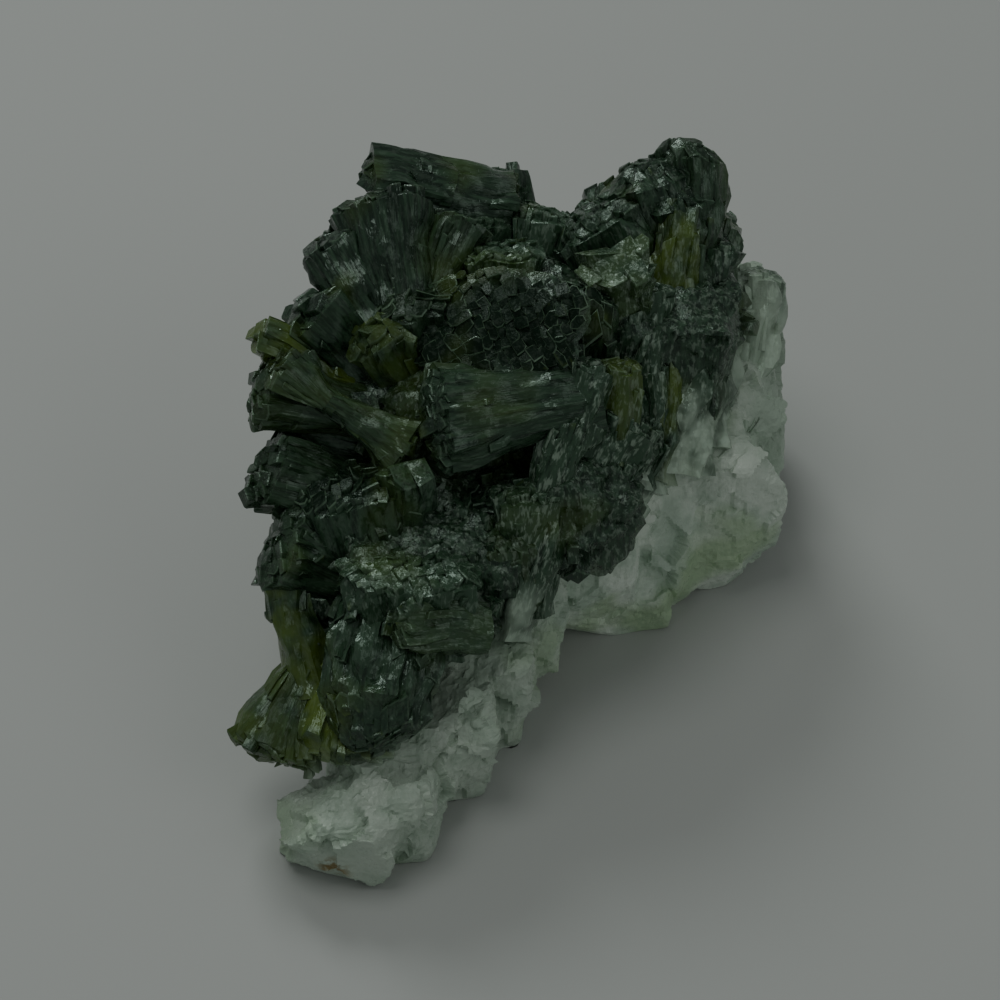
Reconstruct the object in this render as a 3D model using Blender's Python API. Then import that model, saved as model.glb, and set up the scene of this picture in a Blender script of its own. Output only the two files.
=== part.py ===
"""Rough prehnite: fans of dark green crystals grown together on a pale matrix.

Lengths are given in millimetres and become metres when a mesh is made.
The specimen rests on z = 0, with its long way along y and its tip towards -y.
"""

import math
import random

import bmesh
import bpy
from mathutils import Vector

MM = 0.001

# The clearance between the crystals and the matrix that they sit on.
GAP = 0.45

# A fan spreads slowly at its waist and fast at its cap, by this power of the way along it.
SPREAD_POWER = 1.6
# How much the corners of a fan are rounded, and how far the middle of its cap stands over its rim.
CORNER_ROUNDING = 0.22
DOME = 0.5
# How far the lines between crystals stray, as a share of one crystal, and how the outer ribs
# and the middle of a long fan vary, as shares of its width.
STRAY = 0.3
RIB_LOW, RIB_HIGH = -0.16, 0.06
MIDDLE_LOW, MIDDLE_HIGH = 0.88, 1.06
# A fan longer than this gets one more ring of points half way.
LONG_FAN = 16.0
# Some crystals end higher than their neighbours: how many do, by how much, with what slant,
# and how far they are set in, as a share of one crystal.
RAISED_SHARE = 0.36
RISE_LOW, RISE_HIGH = 0.3, 1.4
SLANT_LOW, SLANT_HIGH = 0.75, 1.15
SET_IN = 0.13

# A block is squared off by this power, and its points lie this far out at least.
SQUARENESS = 0.65
REACH_LOW = 0.82
BLOCK_POINTS = 22
HEART_POINTS = 32

# Where each group's random draws start, so that no two lumps share one.
BACK_SEED, PALE_SEED, HEART_SEED = 60, 100, 200

# Positions on the unit grid of a cap are compared with this much slack.
SLACK = 0.01

# A box that is surely wider and deeper than the specimen, for cutting its underside flat.
BEYOND = 80.0
# How deep under the surface the crystals are cleared of the matrix, so that none is left below it.
CLEARED_TO = -5.0

# Colour and roughness of each stone.
PALE_COLOUR, PALE_ROUGHNESS = (0.42, 0.47, 0.40), 0.55
GREEN_COLOUR, GREEN_ROUGHNESS = (0.035, 0.06, 0.04), 0.25

# A viewer in front looks down on the specimen at this angle, from this far off.
# VIEW_HEIGHT is how high over the surface the point looked at lies.
VIEW_TILT = math.radians(48)
VIEW_DISTANCE = 300.0
VIEW_HEIGHT = 26.3

# The middle of the specimen's outline on the surface, which is the origin of the part.
MIDDLE = Vector((1.7, 7.2, 0.0))

RIGHT = Vector((1, 0, 0))
RAISED = Vector((0, math.sin(VIEW_TILT), math.cos(VIEW_TILT)))
AWAY = Vector((0, math.cos(VIEW_TILT), -math.sin(VIEW_TILT)))

# Each fan of crystals: name, waist point, cap point, which way the cap is wide,
# size at the waist, size at the cap, bulge of the cap, and crystals across the cap.
# Points are across, up and away from the point that the viewer looks at.
FRONT_FANS = [
    ("top_left_prism", (-13, 32.5, 8), (1.8, 29.6, 11), (0.6, 0.55, 0.5), (7, 5.5), (6.4, 5), 0.4, (2, 2)),
    ("upper_left_fan", (-9, 14, 3), (-11.8, 30.2, 7), (1, 0.35, 0), (7, 6), (11, 8), 2.0, (4, 3)),
    ("upper_left_step", (-11, 15, 3), (-17, 25.6, 6), (0.6, 1, 0), (6, 5), (7, 6), 1.0, (3, 2)),
    ("upper_blades", (-8, 16, 4), (-3.6, 28.5, 6), (1, -0.4, 0), (4, 4), (6, 5), 0.6, (3, 2)),
    ("saddle_left", (-5, 18, 12), (-1.5, 29, 9.5), (1, 0, 0), (5, 5), (7, 5), 1.0, (3, 2)),
    ("saddle_middle", (2, 18, 13), (4.2, 29, 10), (1, 0, 0), (5, 5), (7, 5), 1.0, (3, 2)),
    ("saddle_front", (0, 15, 9), (0.5, 25.5, 5), (1, 0, 0), (6, 5), (9, 6), 1.0, (3, 2)),
    ("right_mass_left", (15, 17, 14), (8.8, 29.0, 9.5), (1, 0.5, 0), (8, 7), (11, 9), 1.8, (4, 3)),
    ("right_mass_top", (17.5, 20, 15), (14.4, 33.4, 10.5), (1, 0.3, 0), (8, 7), (9, 8), 2.2, (4, 3)),
    ("top_knob", (18.5, 8, 12), (18.6, 35.2, 11.5), (1, 0, 0), (5, 6), (6.8, 7), 2.6, (3, 2)),
    ("wall_ridge", (15.5, 2, 9), (17.6, 30, 9.5), (1, 0, 0), (4, 5), (4, 5), 0.8, (2, 2)),
    ("right_lobe", (20.5, 5, 15), (23.2, 29, 16.5), (1, 0, 0), (6, 7), (6.8, 8), 1.8, (3, 3)),
    ("right_edge", (23, 4, 18), (26, 22.5, 19), (1, 0, 0), (5, 6), (5.5, 7), 1.2, (3, 2)),
    ("wall_middle", (17.5, 3, 11.5), (20, 21, 11.5), (1, 0, 0), (7, 7), (6, 6), 1.0, (3, 2)),
    ("wall_left", (12.8, 1, 8), (13.2, 21.5, 7), (1, 0, 0), (7, 6), (8, 6), 1.0, (4, 2)),
    ("bright_crystal", (12.5, 15, 7), (11.8, 24.5, 2), (1, 0.2, 0), (4, 4), (6.4, 5), 0.3, (2, 2)),
    ("rosette", (1.5, 14, 12), (-0.5, 18.0, -1.5), (1, -0.08, 0), (14, 9), (20, 12), 2.2, (7, 4)),
    ("dark_dome", (8, 10, 10), (8.2, 20.4, 1), (1, -0.3, 0), (6, 6), (7, 7), 2.6, (2, 2)),
    ("rosette_left", (-6, 10, 8), (-9.0, 20.6, 1), (1, 0.3, 0), (6, 5), (8, 7), 1.4, (4, 3)),
    ("yellow_cells", (-9, 8, 5), (-13.5, 17.3, 0.5), (1, 0.5, 0), (5, 4), (8, 6.5), 1.0, (4, 3)),
    ("smooth_slope", (-12, 12, 5), (-19.5, 19, 1.5), (0.6, 1, 0), (6, 5), (7, 7), 0.6, (2, 2)),
    ("left_prism", (-15, 12, 4), (-24.2, 16.6, 0.2), (0.2, 1, 0), (3.4, 4), (3.2, 4), 0.2, (1, 2)),
    ("left_fringe", (-12, 8, 4), (-24, 11.4, 1), (0, 1, 0), (5, 5), (9, 7), 1.2, (5, 2)),
    ("bow_tie_left", (-16.5, 9, -1), (-21.6, 13.6, -1.5), (0.6, 1, 0), (2.6, 3), (5, 4), 0.4, (2, 2)),
    ("bow_tie_right", (-17.2, 9.6, -1), (-8.6, 4.6, -0.5), (0.6, 1, 0), (2.6, 3), (7.5, 6), 0.6, (3, 2)),
    ("left_shelf", (-14, 0, 4), (-23.8, 3.2, 0.5), (0, 1, 0), (6, 6), (8, 7), 1.0, (4, 2)),
    ("left_big_fan", (-11, -11, 6), (-15.0, 2.2, -1), (1, -0.1, 0), (10, 8), (13, 9), 2.0, (5, 3)),
    ("left_low_fan", (-13, -8, 4), (-22.3, -3.5, 0), (0.2, 1, 0), (8, 6), (10, 8), 1.2, (4, 2)),
    ("glint_block", (-9, -4, 2), (-9.4, 3.0, -3.6), (1, -0.2, 0), (4, 3.6), (4.6, 4), 0.2, (2, 1)),
    ("barrel", (9, 10.5, 2), (-7, 7.8, -1.5), (0, 1, 0), (9, 8), (10, 9), 1.6, (4, 3)),
    ("recess_fan", (0, -6, 8), (-1.5, 1.5, 1.5), (1, 0, 0), (7, 6), (10, 6), 0.8, (3, 2)),
    ("recess_step", (1.5, -11, 4), (0.2, -3, -0.6), (1, 0.1, 0), (5, 5), (7, 5), 1.0, (3, 2)),
    ("glints_fan", (2.5, -11, 4), (3, 1.5, -0.5), (1, 0.2, 0), (5, 5), (8, 6), 0.8, (4, 2)),
    ("long_ridge", (0.8, -13.5, 3.5), (8.8, 13.8, 0), (1, 0, 0), (4, 6), (5, 6), 0.6, (3, 2)),
    ("ridge_sheet", (5.6, -6, 6), (12.3, 9, 3), (1, 0.2, 0), (6, 6), (9, 7), 1.0, (3, 2)),
    ("low_ridge", (11, -2, 8), (14.2, 7, 6), (1, 0.3, 0), (6, 5), (7, 5), 1.0, (3, 2)),
    ("yellow_lens", (10.5, 1, 4), (12.2, 13.5, 0.8), (1, 0, 0), (4, 4), (4.2, 5), 0.8, (2, 2)),
    ("blob_barrel", (-9.5, -5, 2.5), (-12.4, -23.8, -4.5), (1, 0, 0), (12, 11), (11.6, 11), 4.5, (5, 3)),
    ("blob_top", (-9, -14, 0), (-8.9, -6.4, -5.0), (1, 0.1, 0), (11, 8), (14, 8), 1.4, (5, 3)),
    ("pale_block", (-1.2, -12.5, -3), (-10.5, -12.6, -6.0), (0.1, 1, 0), (6, 5), (5.6, 5), 0.8, (3, 2)),
    ("blob_skirt", (-4, -9, 0), (-4.0, -14.5, -3.4), (1, 0.4, 0), (5, 5), (5, 5), 1.0, (3, 2)),
    ("front_left_fan", (-18.5, -15, 1), (-23.0, -26, -0.2), (1, -0.45, 0), (4, 5), (10.5, 8), 1.6, (5, 3)),
    ("yellow_strip", (-19.5, -19, 0.5), (-21.3, -6, 1.2), (1, 0, 0), (4.4, 6), (4.4, 6), 0.6, (2, 2)),
    ("yellow_mass", (-14.5, -15, 2), (-16.2, -26, -1.2), (1, -0.1, 0), (9, 7), (11, 7), 0.8, (4, 2)),
]

# Fans at the back and on the far left: waist point and cap point in the part's own x, y and z.
BACK_FANS = [
    ("back_left_high", (-4, 20, 29), (-17, 30, 36), (0, 0.4, 1), (8, 7), (10, 9), 1.6, (3, 2)),
    ("back_left_low", (-4, 18, 24), (-20.5, 24, 25), (0, 1, 0.2), (9, 8), (12, 9), 1.8, (4, 2)),
    ("back_left_front", (-6, 8, 24), (-21.5, 12, 21), (0, 1, 0), (8, 8), (10, 9), 1.4, (3, 2)),
    ("back_left_foot", (-6, 12, 16), (-19.5, 19, 11), (0, 1, 0.3), (8, 7), (11, 8), 1.6, (3, 2)),
    ("back_left_toe", (-8, 0, 14), (-21, 3, 9), (0.1, 1, 0.2), (8, 7), (11, 8), 1.4, (3, 2)),
    ("back_middle_high", (2, 20, 30), (-3, 36, 37), (1, 0, 0.2), (9, 7), (11, 8), 1.6, (4, 2)),
    ("back_middle", (4, 22, 24), (2, 39.5, 25), (1, 0, 0), (9, 8), (12, 9), 1.8, (4, 2)),
    ("back_right_high", (14, 24, 27), (14, 40, 30.5), (1, 0, 0), (8, 7), (11, 9), 1.4, (3, 2)),
    ("back_right", (18, 26, 24), (25, 41, 26), (1, -0.4, 0), (8, 7), (10, 9), 1.4, (3, 2)),
    ("back_left_corner", (-4, 22, 22), (-13, 37, 21), (1, 0.6, 0), (8, 7), (11, 9), 1.6, (3, 2)),
]

# Massive green prehnite that the fans root in: middle, half sizes.
GREEN_HEARTS = [
    ((-6, 14, 27), (14, 13, 10)),
    ((16, 25, 28), (11, 12, 10)),
    ((-14, -9, 13), (8, 10, 7)),
    ((-7, 0, 19), (11, 12, 9)),
    ((2, 25, 27), (16, 12, 10)),
    ((7, 6, 22), (8, 10, 8)),
]

# The pale matrix is a heap of blocks grown together: middle, half sizes.
PALE_BLOCKS = [
    ((-15.5, -23, 3.5), (7.5, 6.5, 6)),
    ((-11, -20, 4), (7, 7, 6.5)),
    ((-6.2, -13, 5), (7, 7.5, 9)),
    ((-10, -12, 5), (8, 9, 8)),
    ((-2.2, -6.5, 6), (6.5, 6.5, 10)),
    ((1.2, -0.8, 8), (6, 6, 11)),
    ((9.4, 7.5, 9), (7, 7, 12)),
    ((17, 12.5, 9.5), (8, 7, 11)),
    ((12, 8, 4), (7, 5, 6)),
    ((22.4, 16.5, 9.5), (8, 8, 12)),
    ((23.6, 23, 12), (8, 10, 13)),
    ((23.8, 31, 14), (7, 8, 13)),
    ((12, 36, 9), (13, 8, 12)),
    ((0, 18, 10), (18, 17, 13)),
    ((-11, 2, 6), (9, 15, 7)),
    ((12, 22, 8), (12, 13, 12)),
    ((1, 3, 6), (9, 9, 8)),
    ((-8, -7, 5), (7, 8, 7)),
    ((-10, 28, 8), (10, 11, 10)),
    ((20, 35, 8), (10, 7, 10)),
]


def seen(across, up, away):
    """The place in space of a point that the viewer sees across, up and away from the middle."""
    spread = 1 + away / VIEW_DISTANCE
    return Vector((0, 0, VIEW_HEIGHT)) + spread * (across * RIGHT + up * RAISED) + away * AWAY


def seen_way(across, up, away):
    """A direction that the viewer sees across, up and away."""
    return across * RIGHT + up * RAISED + away * AWAY


def mesh_object(name, bm):
    """Turn a bmesh in millimetres into an object in metres, in an order that never changes."""
    bmesh.ops.recalc_face_normals(bm, faces=bm.faces)
    if bm.calc_volume(signed=True) < 0:
        bmesh.ops.reverse_faces(bm, faces=bm.faces)
    bmesh.ops.triangulate(bm, faces=bm.faces)
    corners = in_order(bm.verts)
    number = {vert: place for place, vert in enumerate(corners)}
    triangles = []
    for face in bm.faces:
        turn = [number[vert] for vert in face.verts]
        start = turn.index(min(turn))
        triangles.append(turn[start:] + turn[:start])
    mesh = bpy.data.meshes.new(name)
    mesh.from_pydata([(vert.co - MIDDLE) * MM for vert in corners], [], sorted(triangles))
    bm.free()
    return bpy.data.objects.new(name, mesh)


def in_order(parts):
    """Vertices or faces sorted by where they lie, so that each draw always falls to the same one."""
    def place(part):
        spot = part.co if isinstance(part, bmesh.types.BMVert) else part.calc_center_median()
        return [round(value, 7) for value in spot]
    return sorted(parts, key=place)


def rounded(u, w):
    """Round the corners of the square -1..1, as the corners of a sheaf are."""
    return u * math.sqrt(1 - CORNER_ROUNDING * w * w), w * math.sqrt(1 - CORNER_ROUNDING * u * u)


def fan(name, waist_at, cap_at, wide, waist, cap, bulge, cells, seed):
    """One sheaf: blades side by side, narrow at the waist and spread at a domed cap of crystal ends."""
    draw = random.Random(seed)
    across, deep = cells
    axis = cap_at - waist_at
    length = axis.length
    axis.normalize()
    u_way = (wide - wide.dot(axis) * axis).normalized()
    w_way = axis.cross(u_way)

    bm = bmesh.new()
    bmesh.ops.create_grid(bm, x_segments=across, y_segments=deep, size=1)
    rib = {}
    for vert in in_order(bm.verts):
        x, y = vert.co.x, vert.co.y
        on_left_or_right = abs(x) > 1 - SLACK
        on_front_or_back = abs(y) > 1 - SLACK
        if not on_left_or_right:
            vert.co.x += draw.uniform(-STRAY, STRAY) / across
        if not on_front_or_back:
            vert.co.y += draw.uniform(-STRAY, STRAY) / deep
        rib[vert] = draw.uniform(RIB_LOW, RIB_HIGH) if on_left_or_right or on_front_or_back else 0
    for vert, push in rib.items():
        vert.co.x, vert.co.y = rounded(vert.co.x, vert.co.y)
        vert.co.x *= 1 + push
        vert.co.y *= 1 + push

    grown = bmesh.ops.extrude_face_region(bm, geom=list(bm.faces))
    for part in grown["geom"]:
        if isinstance(part, bmesh.types.BMVert):
            part.co.z -= 1
    bmesh.ops.recalc_face_normals(bm, faces=bm.faces)
    bottom = [face for face in bm.faces if face.calc_center_median().z < SLACK - 1]
    bmesh.ops.dissolve_faces(bm, faces=bottom)
    upright = [edge for edge in bm.edges if abs(edge.verts[0].co.z - edge.verts[1].co.z) > SLACK]
    if length > LONG_FAN:
        bmesh.ops.subdivide_edges(bm, edges=upright, cuts=1)

    ends = in_order([face for face in bm.faces if face.calc_center_median().z > -SLACK])
    raised = [face for face in ends if draw.random() < RAISED_SHARE]
    bmesh.ops.inset_individual(bm, faces=raised, thickness=SET_IN / max(cells), use_even_offset=True)
    lift = {}
    for face in raised:
        height = draw.uniform(RISE_LOW, RISE_HIGH)
        for vert in in_order(face.verts):
            lift[vert] = height * draw.uniform(SLANT_LOW, SLANT_HIGH)

    for vert in in_order(bm.verts):
        u, w, level = vert.co.x, vert.co.y, 1 + vert.co.z
        flare = level ** SPREAD_POWER
        if SLACK < level < 1 - SLACK:
            u *= draw.uniform(MIDDLE_LOW, MIDDLE_HIGH)
            w *= draw.uniform(MIDDLE_LOW, MIDDLE_HIGH)
        half_u = (waist[0] + (cap[0] - waist[0]) * flare) / 2
        half_w = (waist[1] + (cap[1] - waist[1]) * flare) / 2
        dome = bulge * (1 - DOME * (u * u + w * w)) if level > 1 - SLACK else 0
        height = level * (length - bulge) + dome + lift.get(vert, 0)
        vert.co = waist_at + axis * height + u_way * (u * half_u) + w_way * (w * half_w)
    return mesh_object(name, bm)


def block(name, middle, half, seed, points, grow=0.0):
    """One blocky lump: the convex hull of points on a squared-off ball."""
    draw = random.Random(seed)
    bm = bmesh.new()
    for _ in range(points):
        way = Vector([draw.gauss(0, 1) for _ in range(3)]).normalized()
        squared = Vector([math.copysign(abs(value) ** SQUARENESS, value) for value in way])
        reach = draw.uniform(REACH_LOW, 1.0)
        bm.verts.new([middle[k] + squared[k] * (half[k] * reach + grow) for k in range(3)])
    hull = bmesh.ops.convex_hull(bm, input=list(bm.verts))
    bmesh.ops.delete(bm, geom=hull["geom_interior"], context="VERTS")
    return mesh_object(name, bm)


def box(name, low, high):
    """A plain box between two corners."""
    bm = bmesh.new()
    bmesh.ops.create_cube(bm, size=1)
    for vert in bm.verts:
        vert.co = Vector([low[k] if vert.co[k] < 0 else high[k] for k in range(3)])
    return mesh_object(name, bm)


def fuse(objects, name, solver="EXACT"):
    """Join overlapping lumps in one solid."""
    first, others = objects[0], objects[1:]
    heap = bpy.data.collections.new(name + "_heap")
    for item in others:
        heap.objects.link(item)
    union = first.modifiers.new("fuse", "BOOLEAN")
    union.operation = "UNION"
    union.operand_type = "COLLECTION"
    union.collection = heap
    union.solver = solver
    return baked(first, name, objects, heap)


def cut(target, cutter, name, solver="EXACT"):
    """Take one solid away from another."""
    heap = bpy.data.collections.new(name + "_cutters")
    heap.objects.link(cutter)
    trim = target.modifiers.new("cut", "BOOLEAN")
    trim.operation = "DIFFERENCE"
    trim.object = cutter
    trim.solver = solver
    return baked(target, name, [target, cutter], heap)


def baked(worked, name, used, heap):
    """Keep the result of an object's modifiers as a new object, and clear away what made it."""
    scene = bpy.context.scene
    scene.collection.children.link(heap)
    scene.collection.objects.link(worked)
    graph = bpy.context.evaluated_depsgraph_get()
    mesh = bpy.data.meshes.new_from_object(worked.evaluated_get(graph))
    for item in used:
        bpy.data.objects.remove(item)
    bpy.data.collections.remove(heap)
    mesh.name = name
    return bpy.data.objects.new(name, mesh)


def largest_body(item):
    """Leave only the largest connected body of a mesh, welded and made of triangles."""
    bm = bmesh.new()
    bm.from_mesh(item.data)
    bodies = []
    left = set(bm.verts)
    while left:
        todo = [left.pop()]
        body = set(todo)
        while todo:
            for edge in todo.pop().link_edges:
                for vert in edge.verts:
                    if vert in left:
                        left.remove(vert)
                        body.add(vert)
                        todo.append(vert)
        bodies.append(body)
    bodies.sort(key=len, reverse=True)
    loose = [vert for body in bodies[1:] for vert in body]
    bmesh.ops.delete(bm, geom=loose, context="VERTS")
    bmesh.ops.triangulate(bm, faces=bm.faces)
    bm.to_mesh(item.data)
    bm.free()


def stone_material(name, colour, roughness):
    """A plain mineral surface."""
    material = bpy.data.materials.new(name)
    material.use_nodes = True
    shader = material.node_tree.nodes["Principled BSDF"]
    shader.inputs["Base Color"].default_value = (*colour, 1)
    shader.inputs["Roughness"].default_value = roughness
    shader.inputs["Metallic"].default_value = 0
    return material


def pale_matrix(grow=0.0, floor=0.0):
    """The blocks of the matrix fused in one lump, with a flat underside where it rests."""
    blocks = []
    for index, (middle, half) in enumerate(PALE_BLOCKS):
        blocks.append(block("pale_block", middle, half, PALE_SEED + index, BLOCK_POINTS, grow))
    lump = fuse(blocks, "matrix")
    under = box("under", (-BEYOND, -BEYOND, -BEYOND), (BEYOND, BEYOND, floor))
    return cut(lump, under, "matrix")


def green_crystals():
    """Every fan and the massive prehnite between them as one solid, cleared from the matrix."""
    lumps = []
    for index, (name, waist_at, cap_at, wide, waist, cap, bulge, cells) in enumerate(FRONT_FANS):
        spread = seen_way(*wide)
        lumps.append(fan(name, seen(*waist_at), seen(*cap_at), spread, waist, cap, bulge, cells, index))
    for index, (name, waist_at, cap_at, wide, waist, cap, bulge, cells) in enumerate(BACK_FANS):
        ends = Vector(waist_at), Vector(cap_at)
        lumps.append(fan(name, *ends, Vector(wide), waist, cap, bulge, cells, BACK_SEED + index))
    for index, (middle, half) in enumerate(GREEN_HEARTS):
        lumps.append(block("green_heart", middle, half, HEART_SEED + index, HEART_POINTS))
    mass = fuse(lumps, "crystals", solver="MANIFOLD")
    return cut(mass, pale_matrix(GAP, CLEARED_TO), "crystals", solver="MANIFOLD")


for item in list(bpy.data.objects):
    bpy.data.objects.remove(item)

specimen = bpy.data.collections.new("rough_prehnite")
bpy.context.scene.collection.children.link(specimen)

matrix = pale_matrix()
matrix.data.materials.append(stone_material("pale_matrix", PALE_COLOUR, PALE_ROUGHNESS))
largest_body(matrix)
specimen.objects.link(matrix)

crystals = green_crystals()
crystals.data.materials.clear()
crystals.data.materials.append(stone_material("green_prehnite", GREEN_COLOUR, GREEN_ROUGHNESS))
largest_body(crystals)
specimen.objects.link(crystals)
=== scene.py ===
import math
import random

import bmesh
import bpy
import numpy as np
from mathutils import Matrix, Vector, noise
from mathutils.bvhtree import BVHTree


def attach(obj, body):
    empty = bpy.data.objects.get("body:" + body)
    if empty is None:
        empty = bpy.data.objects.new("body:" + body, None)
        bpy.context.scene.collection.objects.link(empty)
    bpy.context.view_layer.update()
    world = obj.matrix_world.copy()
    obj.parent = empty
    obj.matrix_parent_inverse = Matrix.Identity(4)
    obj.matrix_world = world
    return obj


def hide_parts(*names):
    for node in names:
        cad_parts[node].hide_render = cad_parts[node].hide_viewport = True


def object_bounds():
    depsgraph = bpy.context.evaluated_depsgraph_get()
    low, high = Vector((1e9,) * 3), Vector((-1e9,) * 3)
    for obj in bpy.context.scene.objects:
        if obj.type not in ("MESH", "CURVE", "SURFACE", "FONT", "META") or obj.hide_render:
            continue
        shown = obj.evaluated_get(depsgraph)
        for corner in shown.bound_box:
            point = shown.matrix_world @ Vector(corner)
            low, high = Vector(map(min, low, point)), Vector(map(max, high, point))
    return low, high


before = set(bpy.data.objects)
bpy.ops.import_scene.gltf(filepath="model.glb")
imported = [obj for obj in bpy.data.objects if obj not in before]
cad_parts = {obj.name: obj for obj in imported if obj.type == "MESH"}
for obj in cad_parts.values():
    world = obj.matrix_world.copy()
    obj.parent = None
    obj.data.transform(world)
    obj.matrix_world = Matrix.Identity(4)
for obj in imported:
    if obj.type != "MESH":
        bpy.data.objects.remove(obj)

cad_low, cad_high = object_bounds()

# The pale matrix
# A wedge of massive quartz and prehnite, pale white to grey green, that carries the crystals.
# It is a heap of blocks grown together, broken from the wall of a cavity along sugary faces,
# with glassy cleavage flakes near its tip and one flat face underneath, where it rests.

# Sizes and places are in millimetres. MIDDLE is the middle of the specimen's base among these places.
MM = 0.001
MIDDLE = Vector((1.7, 7.2, 0.0))

# The blocks: middle and half sizes.
PALE_BLOCKS = [
    ((-15.5, -23, 3.5), (7.5, 6.5, 6)),
    ((-11, -20, 4), (7, 7, 6.5)),
    ((-6.2, -13, 5), (7, 7.5, 9)),
    ((-10, -12, 5), (8, 9, 8)),
    ((-2.2, -6.5, 6), (6.5, 6.5, 10)),
    ((1.2, -0.8, 8), (6, 6, 11)),
    ((9.4, 7.5, 9), (7, 7, 12)),
    ((17, 12.5, 9.5), (8, 7, 11)),
    ((12, 8, 4), (7, 5, 6)),
    ((22.4, 16.5, 9.5), (8, 8, 12)),
    ((23.6, 23, 12), (8, 10, 13)),
    ((23.8, 31, 14), (7, 8, 13)),
    ((12, 36, 9), (13, 8, 12)),
    ((0, 18, 10), (18, 17, 13)),
    ((-11, 2, 6), (9, 15, 7)),
    ((12, 22, 8), (12, 13, 12)),
    ((1, 3, 6), (9, 9, 8)),
    ((-8, -7, 5), (7, 8, 7)),
    ((-10, 28, 8), (10, 11, 10)),
    ((20, 35, 8), (10, 7, 10)),
]
BLOCK_POINTS = 22
BLOCK_SQUARENESS = 0.65
LEAST_REACH = 0.82

# The blocks grow by CLOSING to meet the crystals. Under ROCK_CALM the relief fades out
# to a flat underside, and everything stays ROOM inside the box of the solid model.
CLOSING = 0.4
ROCK_VOXEL = 0.38
ROCK_SOFTENING = {"factor": 0.5, "iterations": 6}
ROCK_CALM = 1.6
ROCK_FLAT = 0.04
ROOM = 0.05

# Where the matrix starts to break in flakes, and how far on from there it is all flaky.
# Both run along the specimen, towards its tip.
FLAKY_FROM = 6
FLAKY_OVER = 12

# Its swells and its sugary grain: how close they are and how far they stand out.
SWELL = (0.13, 0.45)
SUGAR = ((1.3, 0.12), (2.6, 0.07))

# Its broken faces: a shift, then the size of a face and how far it stands out in massive rock,
# and the same where it is flaky.
BREAKS = [
    (0, (6.0, 0.36), (4.2, 0.5)),
    (40, (2.6, 0.2), (1.6, 0.4)),
]


def block(name, middle, half, seed, points, grow=0.0):
    """One blocky lump: the convex hull of points on a squared-off ball."""
    draw = random.Random(seed)
    bm = bmesh.new()
    for _ in range(points):
        way = Vector([draw.gauss(0, 1) for _ in range(3)]).normalized()
        squared = Vector([math.copysign(abs(value) ** BLOCK_SQUARENESS, value) for value in way])
        reach = draw.uniform(LEAST_REACH, 1.0)
        bm.verts.new([middle[k] + squared[k] * (half[k] * reach + grow) for k in range(3)])
    hull = bmesh.ops.convex_hull(bm, input=list(bm.verts))
    bmesh.ops.delete(bm, geom=hull["geom_interior"], context="VERTS")
    bmesh.ops.recalc_face_normals(bm, faces=bm.faces)
    for vert in bm.verts:
        vert.co = (vert.co - MIDDLE) * MM
    mesh = bpy.data.meshes.new(name)
    bm.to_mesh(mesh)
    bm.free()
    return bpy.data.objects.new(name, mesh)


def fused(objects, name):
    """Join overlapping lumps in one closed surface."""
    heap = bpy.data.collections.new(name + "_heap")
    bpy.context.scene.collection.children.link(heap)
    for item in objects[1:]:
        heap.objects.link(item)
    first = objects[0]
    bpy.context.scene.collection.objects.link(first)
    union = first.modifiers.new("fuse", "BOOLEAN")
    union.operation = "UNION"
    union.operand_type = "COLLECTION"
    union.collection = heap
    union.solver = "MANIFOLD"
    graph = bpy.context.evaluated_depsgraph_get()
    mesh = bpy.data.meshes.new_from_object(first.evaluated_get(graph))
    for item in objects:
        bpy.data.objects.remove(item)
    bpy.data.collections.remove(heap)
    mesh.name = name
    piece = bpy.data.objects.new(name, mesh)
    bpy.context.scene.collection.objects.link(piece)
    return piece


def worked(piece, modifier_type, settings):
    """Put one modifier on a piece and keep its result as the piece's mesh."""
    modifier = piece.modifiers.new("work", modifier_type)
    for setting, value in settings.items():
        setattr(modifier, setting, value)
    graph = bpy.context.evaluated_depsgraph_get()
    result = bpy.data.meshes.new_from_object(piece.evaluated_get(graph))
    piece.modifiers.clear()
    piece.data = result
    result.name = piece.name


def points_of(mesh):
    """The places of a mesh's vertices, as rows of an array."""
    places = np.empty(len(mesh.vertices) * 3)
    mesh.vertices.foreach_get("co", places)
    return places.reshape(-1, 3)


def normals_of(mesh):
    """The directions that a mesh's vertices face, as rows of an array."""
    ways = np.empty(len(mesh.vertices) * 3, dtype=np.float32)
    mesh.vertex_normals.foreach_get("vector", ways)
    return ways.reshape(-1, 3).astype(float)


def keep_inside(places):
    """Hold points inside the room that the solid model takes up."""
    return np.clip(places, np.array(cad_low) + ROOM * MM, np.array(cad_high) - ROOM * MM)


def facet(spot, size):
    """How far a broken face stands out at a spot, where each grain breaks along its own plane."""
    scaled = spot / size
    near = noise.voronoi(scaled)[1][0]
    tilt = noise.cell_vector(near * 7.31) - Vector((0.5, 0.5, 0.5))
    return (scaled - near).dot(tilt) * size


blocks = []
for index, (middle, half) in enumerate(PALE_BLOCKS):
    blocks.append(block("pale_block", middle, half, 100 + index, BLOCK_POINTS, CLOSING))
rock = fused(blocks, "pale_matrix")
worked(rock, "REMESH", {"mode": "VOXEL", "voxel_size": ROCK_VOXEL * MM})
worked(rock, "SMOOTH", ROCK_SOFTENING)

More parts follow.
